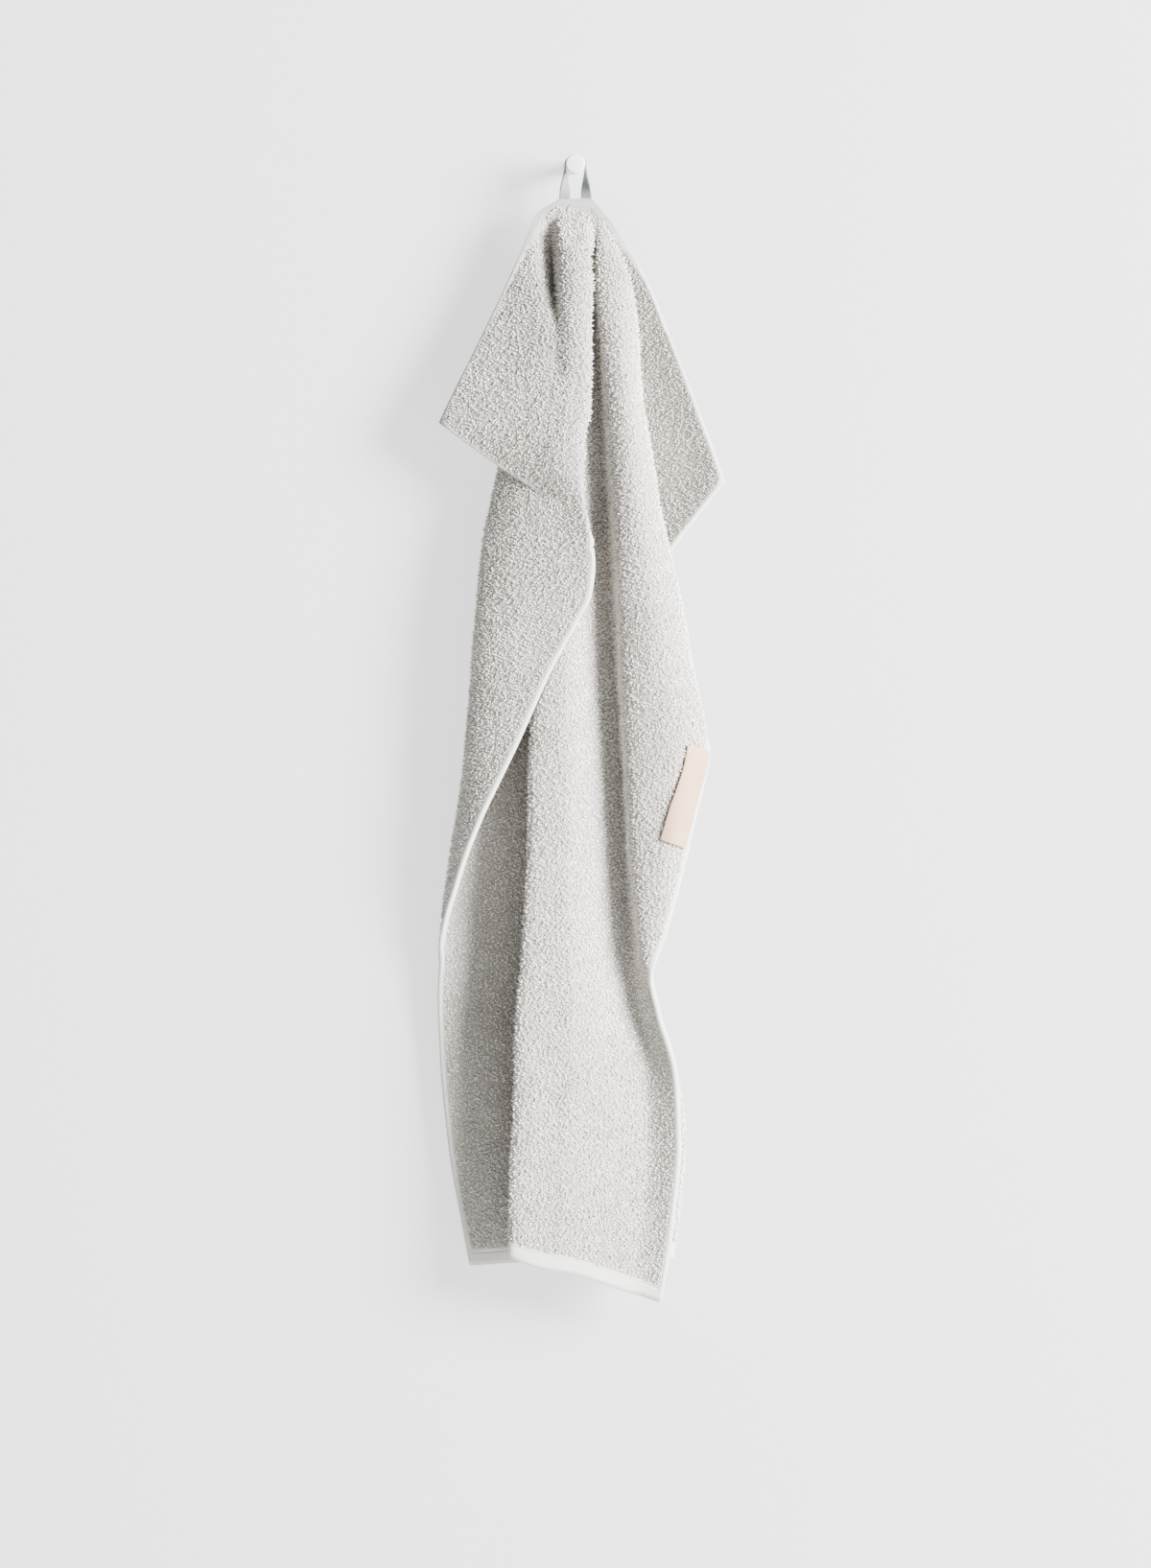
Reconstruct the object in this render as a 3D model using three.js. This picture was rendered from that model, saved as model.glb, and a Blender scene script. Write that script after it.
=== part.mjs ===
// A terry guest towel, 300 by 500 mm, hung by its tape loop on a round wall hook.
// Millimetres, +Z up. The wall is the plane y = 0 and the towel hangs on its -Y side.
// The origin is the middle of the hook's flat wall end.
import * as THREE from 'three';

// Sizes
const CLOTH_THICKNESS = 2;
const HOOK_SHAFT_DIAMETER = 6.4;
const HOOK_HEAD_DIAMETER = 9;
const HOOK_LENGTH = 30;
const HOOK_HEAD_LENGTH = 4;
const HOOK_ROUNDING = 0.8;
const HOOK_ROUNDING_STEPS = 5;
const HOOK_SEGMENTS = 32;
const TAPE_WIDTH = 5;
const TAPE_THICKNESS = 0.9;
const TAPE_GAP = 0.3;
const TAPE_OUT = 20.6;
const TAPE_ARCH_ACROSS = 4.7;
const TAPE_END_DROP = 24.5;
const TAPE_END_ACROSS = 5.2;
const TAPE_TWIST_START = 0;
const TAPE_TWIST_END = 19;
const TAPE_STEPS_STRAND = 14;
const TAPE_STEPS_ARCH = 16;
const LABEL_LENGTH = 45;
const LABEL_WIDTH = 12;
const LABEL_THICKNESS = 0.6;
const LABEL_TOP_DROP = 272.4;
const LABEL_SLANT = 4.3;
const LABEL_TOP_INSET = 1.2;
const LABEL_BOTTOM_INSET = 3.2;
const LABEL_GAP = 0.6;
const LABEL_STEPS_LONG = 16;
const LABEL_STEPS_WIDE = 5;

// The cloth as a mesh: the rows between two drops, and the columns right of the last fold. The
// columns left of each fold are in its table.
const LAST_COLUMNS = 4;
const CURL_WEIGHT = 5;
const POINTS_PER_SPAN = 16;
const ROW_BANDS = [
  { to: 26, rows: 2 },
  { to: 40, rows: 2 },
  { to: 57, rows: 3 },
  { to: 100, rows: 4 },
  { to: 119.6, rows: 2 },
  { to: 147, rows: 3 },
  { to: 165, rows: 2 },
  { to: 184, rows: 3 },
  { to: 205, rows: 3 },
  { to: 268, rows: 4 },
  { to: 366, rows: 6 },
  { to: 376, rows: 1 },
  { to: 510, rows: 6 },
];
const FIRST_DROP = 15.9;
// Where a fold has run out, one more row follows this far below its last one
const RUN_OUT_STEP = 3;
const SLOPE_STEP = 0.2;
const SPREAD_DISTANCE = 90;

// The cloth's rim. Columns: drop below the hook's middle, across to the right, out from the wall
const LEFT_HEM = [
  [15.9, -7.5, 23],
  [22.6, -17.7, 22.4],
  [35, -22.6, 22.6], [57, -32.3, 23.2], [119.6, -62.9, 26],
];
const LEFT_EDGE = [
  [119.6, -62.9, 26], [141, -33.2, 31], [157, -8.9, 36.8],
  [167, 2.7, 40.5],
  [177, 7.5, 43],
  [186, 8.9, 43.5],
  [199, 7.5, 42],
  [210, 2.2, 40.5],
  [234, -11.1, 39],
  [268, -26.6, 37.5],
  [305, -44.3, 32],
  [334, -54.9, 23.5],
  [361, -61.6, 15],
  [385, -63.8, 10.5],
  [412, -62.9, 8.5],
  [456, -58.5, 7.8],
  [487, -53.2, 7.5],
  [511, -48.7, 7.5],
];
const RIGHT_HEM = [
  [15.9, 7.5, 23],
  [28.4, 17.7, 23.3],
  [57, 34.4, 24],
  [80, 43.6, 25.3],
  [101.4, 52, 27],
  [147, 68.7, 31],
];
const RIGHT_EDGE = [
  [147, 68.7, 31],
  [163, 56, 27],
  [179.4, 43.4, 23],
  [194, 32, 20.5],
  [206, 27, 20],
  [222, 30, 20.5],
  [240, 41, 23],
  [257, 53.2, 27.5], [270, 61.5, 32], [300, 55.5, 34.5], [318.5, 51.3, 35],
  [352, 42.6, 35], [377, 35.4, 33.4], [392, 38.5, 33], [407.6, 43.4, 32.5], [420, 46.6, 32],
  [451, 48.5, 31], [499, 44, 29.5], [525.4, 39.9, 29],
];

// Which way the cloth runs where it crosses a fold, going from its left rim to its right rim
const TOWARD_VIEWER = Math.PI / 2;
const TO_THE_WALL = -Math.PI / 2;
const TO_THE_RIGHT = 0;

// The folds, in the order in which a row of the cloth crosses them. Each has the way it is
// crossed, how round it is, how far below the even rows it lies at the bottom hem, and its line
// down the cloth, with the columns drop, across and out. Past its last row a fold has run out.
const FOLDS = [
  {
    name: 'slit beside the loop, shoulder', heading: TO_THE_RIGHT, round: 5, dip: 0, columns: 4,
    line: [
      [26, -15, 22.7], [35, -18.8, 23.4], [57, -16, 27.4], [75, -10.8, 33.2], [86, -9, 35.4],
      [100, -8, 36.8],
    ],
  },
  {
    name: 'slit beside the loop, inside', heading: TO_THE_RIGHT, round: 2.5, dip: 0, columns: 2,
    line: [
      [26, -10.8, 19.6], [35, -10.8, 16.8], [57, -9.8, 20], [75, -8.3, 32.6], [86, -7.8, 35.6],
      [100, -7.2, 37],
    ],
  },
  {
    name: 'slit beside the loop, lip', heading: TOWARD_VIEWER, round: 6, dip: 0, columns: 2,
    line: [
      [26, -8.2, 23.5], [35, -6.8, 28], [57, -6.4, 32], [75, -6.3, 34.5], [86, -6.5, 36],
      [100, -6.6, 37.2],
    ],
  },
  {
    name: 'left flap, crest', heading: TO_THE_RIGHT, round: 16, dip: 0, columns: 3,
    line: [[26, 0, 23.6], [35, 0, 29], [57, 0.5, 35.5], [80, 0, 38.5], [107, -1, 40.5],
      [135, 0, 43], [165, 7.9, 43.2]],
  },
  {
    name: 'left flap, fold over', heading: TO_THE_WALL, round: 12, dip: 0, columns: 3,
    line: [[26, 5, 23.4], [35, 6.5, 28], [57, 7.6, 33.5], [80, 7.2, 36.5], [107, 7.4, 39.5],
      [135, 7.4, 41.5], [165, 8.3, 43], [184, 9.3, 43.1]],
  },
  {
    name: 'left side fold', heading: TO_THE_WALL, round: 40, dip: 0, columns: 7,
    line: [[40, 7.2, 25], [48, -3, 22.5], [57, -10, 21.5], [80, -19, 21], [107, -28, 20.5],
      [141, -37.7, 20.5], [208, -45.6, 23], [274, -50.9, 21.5], [336, -59.8, 15], [366, -63, 13]],
  },
  {
    name: 'back panel, lowest line', heading: TO_THE_RIGHT, round: 18, dip: -2, columns: 4,
    line: [[40, 7.4, 24.6], [48, 2.5, 19.8], [57, 0, 17.8], [80, -2, 15], [107, -2, 12.6],
      [135, 0, 10.8], [186, 4, 9.2], [260, -6, 8], [300, -22, 7.6], [340, -35, 7.4], [380, -40, 7.4],
      [415, -36, 9], [460, -30, 11], [510, -26, 12]],
  },
  {
    name: 'hidden fold at the back', heading: TOWARD_VIEWER, round: 22, dip: -4, columns: 4,
    line: [[40, 7.6, 24.3], [48, 7, 18.5], [57, 8.5, 16.5], [80, 12.5, 14.5], [107, 17.5, 12.5],
      [135, 23, 11.5], [186, 32, 11], [288, 38, 11], [360, 32, 11], [377, 31, 11], [394, 35, 11],
      [420, 46, 12], [451, 50.5, 12.5], [480, 48.5, 12.5], [510, 45, 12.5]],
  },
  {
    name: 'middle panel, left fold', heading: TOWARD_VIEWER, round: 11, dip: -5.4, columns: 6,
    line: [[40, 8, 24], [48, 1, 20.5], [57, -4, 20.3], [80, -10, 20.5], [107, -13.5, 20.5],
      [135, -16, 22.5], [186, -19, 26.5], [252, -20.8, 30.5], [323, -22.2, 34], [398, -27.5, 35],
      [510, -31, 33]],
  },
  {
    name: 'middle panel, crest', heading: TO_THE_RIGHT, round: 30, dip: 1, columns: 5,
    line: [
      [40, 8.4, 23.8], [48, 5.5, 25], [57, 3.5, 26], [80, 1, 28], [135, -2.5, 31], [186, -4, 33.5],
      [252, -5.5, 35.2], [323, -5, 37], [394, -4, 36.5], [510, -9, 34],
    ],
  },
  {
    name: 'deep valley', heading: TO_THE_RIGHT, round: 10, dip: 12, columns: 4,
    line: [
      [26, 9.2, 23.1], [35, 9.3, 22.6], [57, 9.2, 21], [80, 10.2, 19.5], [135, 12.4, 18.5],
      [217, 16.5, 18.2], [288, 21, 18.2], [348, 24, 18.6], [377, 25.5, 19.6], [394, 28, 20.5],
      [411, 32.5, 22.5], [451, 34, 25.5], [510, 28, 28],
    ],
  },
  {
    name: 'right ridge, left side', heading: TOWARD_VIEWER, round: 12, dip: 0, columns: 3,
    line: [
      [26, 10, 23.2], [35, 10.6, 25.2], [57, 10.4, 29.5], [80, 12.7, 32], [107.6, 14.8, 34],
      [135, 16.6, 35], [217, 21.3, 35.5], [314, 26.1, 35.5], [361, 30.6, 35], [376, 34.5, 33.2],
    ],
  },
  {
    name: 'right ridge, crest', heading: TO_THE_RIGHT, round: 30, dip: 0, columns: 3,
    line: [
      [26, 11, 23.3], [35, 13.5, 26], [57, 17.7, 32], [80, 20, 36], [107, 23, 39],
      [135, 25.5, 40.5], [179, 31, 41.5], [230, 39, 41.5], [270, 45, 41], [323, 41, 40],
      [348, 38.5, 38], [376, 35, 33.4],
    ],
  },
  {
    name: 'right side fold', heading: TO_THE_WALL, round: 14, dip: 0, columns: 3,
    line: [[26, 12.6, 23.3], [35, 17, 25], [57, 25.3, 28], [80, 28, 29.5], [107.6, 30, 30.5],
      [135.6, 34.6, 31], [155.5, 38.1, 31], [179, 43.4, 31], [230, 53.2, 32], [268, 62.2, 32]],
  },
  {
    name: 'right flap, hidden turn', heading: TO_THE_WALL, round: 10, dip: 0, columns: 3,
    line: [
      [26, 13.4, 23.2], [35, 15.5, 23.5], [57, 20.5, 21.5], [80, 23.5, 19.5], [107, 26, 18],
      [135, 28.5, 17], [180, 29.5, 17.8], [205, 27.1, 20],
    ],
  },
];
const LEFT_RIM_DIP = -0.5;
const RIGHT_RIM_DIP = 15.4;
const DIP_START = 380;
const LAST_DROP = 510;
const ROUND_GAIN = 1.4;
// A fold closer than this to the next one, or to the rim, fades out
const FADE_DISTANCE = 8;
const RIM_FADE = 14;

const COLOURS = { cloth: 0xd9d7d2, tape: 0xc0c2c4, label: 0xd8cfc0, hook: 0xe6e6e4 };

// One column of a fold line at a given drop, as a smooth curve that never swings past its points
function along(line, column, drop) {
  const last = line.length - 1;
  if (drop <= line[0][0]) return line[0][column];
  if (drop >= line[last][0]) return line[last][column];
  let i = 0;
  while (drop > line[i + 1][0]) i += 1;
  const slope = (k) => (line[k + 1][column] - line[k][column]) / (line[k + 1][0] - line[k][0]);
  const tangent = (k) => {
    if (k === 0) return slope(0);
    if (k === last) return slope(last - 1);
    const before = slope(k - 1);
    const after = slope(k);
    return before * after <= 0 ? 0 : (2 * before * after) / (before + after);
  };
  const step = line[i + 1][0] - line[i][0];
  const t = (drop - line[i][0]) / step;
  const rise = t * t * (3 - 2 * t);
  const a = line[i][column] * (1 - rise) + line[i + 1][column] * rise;
  return a + step * (t * (1 - t) * (1 - t) * tangent(i) - t * t * (1 - t) * tangent(i + 1));
}

// How far below an even row a point lies, for rows that slant toward the bottom hem
function dipAt(level, dip) {
  const t = Math.max(0, (level - DIP_START) / (LAST_DROP - DIP_START));
  return dip * t * t;
}

function rimAt(level, hem, edge, dip) {
  const drop = level + dipAt(level, dip);
  const line = drop < edge[0][0] ? hem : edge;
  return { across: along(line, 1, drop), out: along(line, 2, drop), drop, heading: null };
}

// The points that one row of the cloth passes through, from the left rim to the right rim
function crossings(level) {
  const points = [{ column: 0, ...rimAt(level, LEFT_HEM, LEFT_EDGE, LEFT_RIM_DIP) }];
  let column = 0;
  for (const { heading, round, dip, columns, line } of FOLDS) {
    column += columns;
    if (level < line[0][0] || level > line[line.length - 1][0]) continue;
    points.push({
      column,
      across: along(line, 1, level),
      out: along(line, 2, level),
      drop: level + dipAt(level, dip),
      heading,
      round,
    });
  }
  column += LAST_COLUMNS;
  points.push({ column, ...rimAt(level, RIGHT_HEM, RIGHT_EDGE, RIGHT_RIM_DIP) });
  return points;
}

// A row of the cloth as a fine line of points (x, y, z), with a span of points between two stops
function rowLine(level, stops = crossings(level)) {
  const line = [];
  for (let i = 0; i + 1 < stops.length; i += 1) {
    const a = stops[i];
    const b = stops[i + 1];
    const run = [b.across - a.across, b.out - a.out];
    const chord = Math.hypot(run[0], run[1]);
    const pull = (stop, other) => {
      const apart = Math.hypot(stop.across - other.across, stop.out - other.out);
      const fade = Math.min(1, apart / FADE_DISTANCE);
      const size = (fade * ROUND_GAIN * stop.round * chord) / (stop.round + chord);
      return [size * Math.cos(stop.heading), size * Math.sin(stop.heading)];
    };
    let start = a.heading === null ? null : pull(a, stops[i - 1]);
    let end = b.heading === null ? null : pull(b, stops[i + 2]);
    const free = (known, k) => 1.5 * run[k] - 0.5 * known[k];
    if (start === null && end === null) {
      start = run;
      end = run;
    }
    if (start === null) start = [free(end, 0), free(end, 1)];
    if (end === null) end = [free(start, 0), free(start, 1)];
    for (let j = i === 0 ? 0 : 1; j <= POINTS_PER_SPAN; j += 1) {
      const t = j / POINTS_PER_SPAN;
      const rise = t * t * (3 - 2 * t);
      const leave = t * (1 - t) * (1 - t);
      const arrive = -t * t * (1 - t);
      const across = a.across + rise * run[0] + leave * start[0] + arrive * end[0];
      const out = a.out + rise * run[1] + leave * start[1] + arrive * end[1];
      line.push(new THREE.Vector3(across, -out, -(a.drop + rise * (b.drop - a.drop))));
    }
  }
  return line;
}

// The point at a given measure along a line, where measures holds the measure at each point
function pointAt(line, measures, wanted) {
  let i = 1;
  while (i < line.length - 1 && measures[i] < wanted) i += 1;
  const span = measures[i] - measures[i - 1];
  const t = span > 0 ? Math.min(1, Math.max(0, (wanted - measures[i - 1]) / span)) : 0;
  return line[i - 1].clone().lerp(line[i], t);
}

// Length along a line, with extra measure where it curls, so that folds get more columns
function measuresOf(line, curlWeight) {
  const lengths = [0];
  for (let i = 1; i < line.length; i += 1) {
    lengths.push(lengths[i - 1] + line[i].distanceTo(line[i - 1]));
  }
  if (curlWeight === 0) return lengths;
  const total = lengths[lengths.length - 1];
  const measures = [0];
  for (let i = 1; i < line.length; i += 1) {
    let step = lengths[i] - lengths[i - 1];
    if (i + 1 < line.length) {
      const before = line[i].clone().sub(line[i - 1]);
      const after = line[i + 1].clone().sub(line[i]);
      const fromRim = Math.min(lengths[i], total - lengths[i]);
      const weight = curlWeight * Math.min(1, fromRim / RIM_FADE);
      if (before.length() > 0 && after.length() > 0) step += weight * before.angleTo(after);
    }
    measures.push(measures[i - 1] + step);
  }
  return measures;
}

// The fold that ran out last above a row, or that starts next below it, between two columns
function nearestEnd(level, from, to) {
  let column = 0;
  let nearest = null;
  for (const { columns, line } of FOLDS) {
    column += columns;
    if (column <= from || column >= to) continue;
    const first = line[0][0];
    const last = line[line.length - 1][0];
    const at = level > last ? last : first;
    const away = Math.abs(level - at);
    if (nearest === null || away < nearest.away) nearest = { at, away };
  }
  return nearest;
}

// Where each column of a row lies along it. Columns keep to the folds. Near the end of a fold they
// spread out bit by bit, so that the mesh isn't sheared there.
function columnMeasures(level, stops, measures) {
  const found = [0];
  for (let i = 0; i + 1 < stops.length; i += 1) {
    const start = measures[i * POINTS_PER_SPAN];
    const length = measures[(i + 1) * POINTS_PER_SPAN] - start;
    const from = stops[i].column;
    const to = stops[i + 1].column;
    const end = nearestEnd(level, from, to);
    let before = null;
    if (end !== null && end.away < SPREAD_DISTANCE) {
      const stopsThere = crossings(end.at);
      before = columnMeasures(end.at, stopsThere, measuresOf(rowLine(end.at, stopsThere), CURL_WEIGHT));
    }
    for (let j = from + 1; j <= to; j += 1) {
      let share = (j - from) / (to - from);
      if (before !== null) {
        const t = end.away / SPREAD_DISTANCE;
        const was = (before[j] - before[from]) / (before[to] - before[from]);
        share = was + (share - was) * t * t * (3 - 2 * t);
      }
      found.push(start + length * share);
    }
  }
  return found;
}

function clothRow(level) {
  const stops = crossings(level);
  const line = rowLine(level, stops);
  const measures = measuresOf(line, CURL_WEIGHT);
  return columnMeasures(level, stops, measures).map((wanted) => pointAt(line, measures, wanted));
}

function rowLevels() {
  const runOuts = FOLDS.map(({ line }) => line[line.length - 1][0]);
  const levels = [FIRST_DROP];
  for (const { to, rows } of ROW_BANDS) {
    const from = levels[levels.length - 1];
    for (let i = 1; i <= rows; i += 1) levels.push(from + ((to - from) * i) / rows);
    if (to < LAST_DROP && runOuts.includes(to)) levels.push(to + RUN_OUT_STEP);
  }
  return levels;
}

// The ways down the cloth from each point of a row, to a near row that crosses the same folds
function clothSlopes(level, row) {
  const below = level + SLOPE_STEP;
  const same = below <= LAST_DROP && crossings(below).length === crossings(level).length;
  const other = clothRow(same ? below : level - SLOPE_STEP);
  return row.map((point, j) => other[j].clone().sub(point).multiplyScalar(same ? 1 : -1));
}

// Directions square to a grid of points, on the viewer's side of a flat sheet
function gridNormals(grid, slopes = null) {
  const rows = grid.length - 1;
  const columns = grid[0].length - 1;
  return grid.map((row, i) => row.map((point, j) => {
    const right = row[Math.min(columns, j + 1)].clone().sub(row[Math.max(0, j - 1)]);
    const down = slopes
      ? slopes[i][j].clone()
      : grid[Math.min(rows, i + 1)][j].clone().sub(grid[Math.max(0, i - 1)][j]);
    return down.cross(right).normalize();
  }));
}

// A closed sheet of even thickness about a grid of points
function sheetGeometry(grid, thickness, slopes = null) {
  const normals = gridNormals(grid, slopes);
  const rows = grid.length;
  const columns = grid[0].length;
  const positions = [];
  for (const side of [0.5, -0.5]) {
    grid.forEach((row, i) => row.forEach((point, j) => {
      const p = point.clone().addScaledVector(normals[i][j], side * thickness);
      positions.push(p.x, p.y, p.z);
    }));
  }
  const front = (i, j) => i * columns + j;
  const back = (i, j) => rows * columns + i * columns + j;
  const index = [];
  const quad = (a, b, c, d) => index.push(a, b, c, a, c, d);
  for (let i = 0; i + 1 < rows; i += 1) {
    for (let j = 0; j + 1 < columns; j += 1) {
      quad(front(i, j), front(i + 1, j), front(i + 1, j + 1), front(i, j + 1));
      quad(back(i, j), back(i, j + 1), back(i + 1, j + 1), back(i + 1, j));
    }
  }
  const rim = [];
  for (let j = 0; j < columns - 1; j += 1) rim.push([0, j]);
  for (let i = 0; i < rows - 1; i += 1) rim.push([i, columns - 1]);
  for (let j = columns - 1; j > 0; j -= 1) rim.push([rows - 1, j]);
  for (let i = rows - 1; i > 0; i -= 1) rim.push([i, 0]);
  rim.forEach((spot, k) => {
    const next = rim[(k + 1) % rim.length];
    quad(front(...spot), front(...next), back(...next), back(...spot));
  });
  const geometry = new THREE.BufferGeometry();
  geometry.setAttribute('position', new THREE.Float32BufferAttribute(positions, 3));
  geometry.setIndex(index);
  geometry.computeVertexNormals();
  return geometry;
}

function towelGeometry() {
  const levels = rowLevels();
  const grid = levels.map(clothRow);
  const slopes = levels.map((level, i) => clothSlopes(level, grid[i]));
  return sheetGeometry(grid, CLOTH_THICKNESS, slopes);
}

// The label lies on the front of the cloth, against its right edge
function labelGeometry() {
  const grid = [];
  for (let i = 0; i <= LABEL_STEPS_LONG; i += 1) {
    const row = [];
    const inset = THREE.MathUtils.lerp(LABEL_TOP_INSET, LABEL_BOTTOM_INSET, i / LABEL_STEPS_LONG);
    for (let j = 0; j <= LABEL_STEPS_WIDE; j += 1) {
      const fromEdge = inset + LABEL_WIDTH * (1 - j / LABEL_STEPS_WIDE);
      const level = LABEL_TOP_DROP + (LABEL_LENGTH * i) / LABEL_STEPS_LONG
        - (LABEL_SLANT * fromEdge) / LABEL_WIDTH;
      const line = rowLine(level).reverse();
      row.push(pointAt(line, measuresOf(line, 0), fromEdge));
    }
    grid.push(row);
  }
  const lift = (CLOTH_THICKNESS + LABEL_THICKNESS) / 2 + LABEL_GAP;
  const normals = gridNormals(grid);
  const lifted = grid.map((row, i) => row.map((p, j) => p.clone().addScaledVector(normals[i][j], lift)));
  return sheetGeometry(lifted, LABEL_THICKNESS);
}

// The tape goes up from the back of the hem, over the hook and down again. It stands edge on at the
// hook and turns flat behind the hem.
function tapeGeometry() {
  const archUp = HOOK_SHAFT_DIAMETER / 2 + TAPE_GAP + TAPE_THICKNESS / 2;
  const strand = (side, t) => {
    const drop = TAPE_END_DROP * t;
    const settle = t * t * (3 - 2 * t);
    const across = side * THREE.MathUtils.lerp(TAPE_ARCH_ACROSS, TAPE_END_ACROSS, settle);
    const twist = (Math.PI / 2) * THREE.MathUtils.smoothstep(drop, TAPE_TWIST_START, TAPE_TWIST_END);
    return {
      middle: new THREE.Vector3(across, -TAPE_OUT, -drop),
      wide: new THREE.Vector3(-Math.sin(twist), -Math.cos(twist), 0),
    };
  };
  const path = [];
  for (let i = TAPE_STEPS_STRAND; i >= 1; i -= 1) path.push(strand(-1, i / TAPE_STEPS_STRAND));
  for (let i = 0; i <= TAPE_STEPS_ARCH; i += 1) {
    const angle = Math.PI * (1 - i / TAPE_STEPS_ARCH);
    path.push({
      middle: new THREE.Vector3(TAPE_ARCH_ACROSS * Math.cos(angle), -TAPE_OUT, archUp * Math.sin(angle)),
      wide: new THREE.Vector3(0, -1, 0),
    });
  }
  for (let i = 1; i <= TAPE_STEPS_STRAND; i += 1) {
    const spot = strand(1, i / TAPE_STEPS_STRAND);
    spot.wide.x *= -1;
    path.push(spot);
  }
  const half = TAPE_WIDTH / 2;
  const grid = path.map(({ middle, wide }) => [-half, 0, half].map(
    (offset) => middle.clone().addScaledVector(wide, offset),
  ));
  return sheetGeometry(grid, TAPE_THICKNESS);
}

// A plain round peg, flat against the wall, with a low round head that hides the loop from the front
function hookGeometry() {
  const shaft = HOOK_SHAFT_DIAMETER / 2;
  const head = HOOK_HEAD_DIAMETER / 2;
  const neck = HOOK_LENGTH - HOOK_HEAD_LENGTH;
  const profile = [[0, 0], [shaft, 0], [shaft, neck], [head, neck]];
  for (let i = 0; i <= HOOK_ROUNDING_STEPS; i += 1) {
    const angle = (Math.PI / 2) * (i / HOOK_ROUNDING_STEPS);
    profile.push([
      head - HOOK_ROUNDING + HOOK_ROUNDING * Math.cos(angle),
      HOOK_LENGTH - HOOK_ROUNDING + HOOK_ROUNDING * Math.sin(angle),
    ]);
  }
  profile.push([0, HOOK_LENGTH]);
  const points = profile.map(([radius, along]) => new THREE.Vector2(radius, along));
  return new THREE.LatheGeometry(points, HOOK_SEGMENTS).rotateX(Math.PI);
}

function piece(name, geometry, colour, roughness, metalness = 0) {
  const material = new THREE.MeshStandardMaterial({ color: colour, roughness, metalness });
  material.name = name;
  const mesh = new THREE.Mesh(geometry, material);
  mesh.name = name;
  return mesh;
}

const part = new THREE.Group();
part.name = 'guest_towel_on_hook';
part.add(piece('towel', towelGeometry(), COLOURS.cloth, 0.95));
part.add(piece('hanging_loop', tapeGeometry(), COLOURS.tape, 0.9));
part.add(piece('label', labelGeometry(), COLOURS.label, 0.85));
part.add(piece('hook', hookGeometry(), COLOURS.hook, 0.4));

export default part;
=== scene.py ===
# %% [markdown]
# # A guest towel on a hook
#
# This lesson dresses a small terry towel that hangs by its tape loop on a white peg. The solids of
# the towel, the loop, the label and the peg are loaded first. They fix where everything is and how
# big it is. Each step below then makes one piece of the real object in its place.

# %% The frame
import math

import bpy
import numpy as np
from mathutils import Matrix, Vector, noise
from mathutils.bvhtree import BVHTree


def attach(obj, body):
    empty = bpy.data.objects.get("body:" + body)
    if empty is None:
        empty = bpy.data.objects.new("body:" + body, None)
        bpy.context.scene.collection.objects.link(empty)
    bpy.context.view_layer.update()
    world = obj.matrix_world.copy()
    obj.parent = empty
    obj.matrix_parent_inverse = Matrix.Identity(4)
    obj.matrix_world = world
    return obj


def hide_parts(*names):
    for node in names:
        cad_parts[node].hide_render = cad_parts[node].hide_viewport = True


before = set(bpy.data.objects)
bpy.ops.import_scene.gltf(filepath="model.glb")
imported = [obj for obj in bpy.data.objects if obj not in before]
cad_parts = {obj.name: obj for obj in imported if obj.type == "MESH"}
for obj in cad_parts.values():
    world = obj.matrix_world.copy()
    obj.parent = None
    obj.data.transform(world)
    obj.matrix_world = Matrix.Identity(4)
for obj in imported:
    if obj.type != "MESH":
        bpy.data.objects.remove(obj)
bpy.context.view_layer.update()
MM = 0.001
print("solids:", sorted(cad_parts))

# %% [markdown]
# ## Helpers for materials
#
# A material is a small network of nodes. Written out link by link, a formula such as "grain times
# two plus weave" gets long. The class `Value` below lets Python's own +, -, * and / add the Math
# nodes, and `Finish.node` adds any other node, with its settings first and its inputs after.

# %% Material helpers


class Value:
    """An output socket that can be used in a formula."""

    def __init__(self, finish, socket):
        self.finish, self.socket = finish, socket

    def math(self, operation, first, second=0.0):
        return self.finish.node("ShaderNodeMath", {"operation": operation}, {0: first, 1: second})

    def __add__(self, other):
        return self.math("ADD", self, other)

    def __radd__(self, other):
        return self.math("ADD", other, self)

    def __sub__(self, other):
        return self.math("SUBTRACT", self, other)

    def __rsub__(self, other):
        return self.math("SUBTRACT", other, self)

    def __mul__(self, other):
        return self.math("MULTIPLY", self, other)

    def __rmul__(self, other):
        return self.math("MULTIPLY", other, self)

    def __truediv__(self, other):
        return self.math("DIVIDE", self, other)

    def __rtruediv__(self, other):
        return self.math("DIVIDE", other, self)


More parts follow.
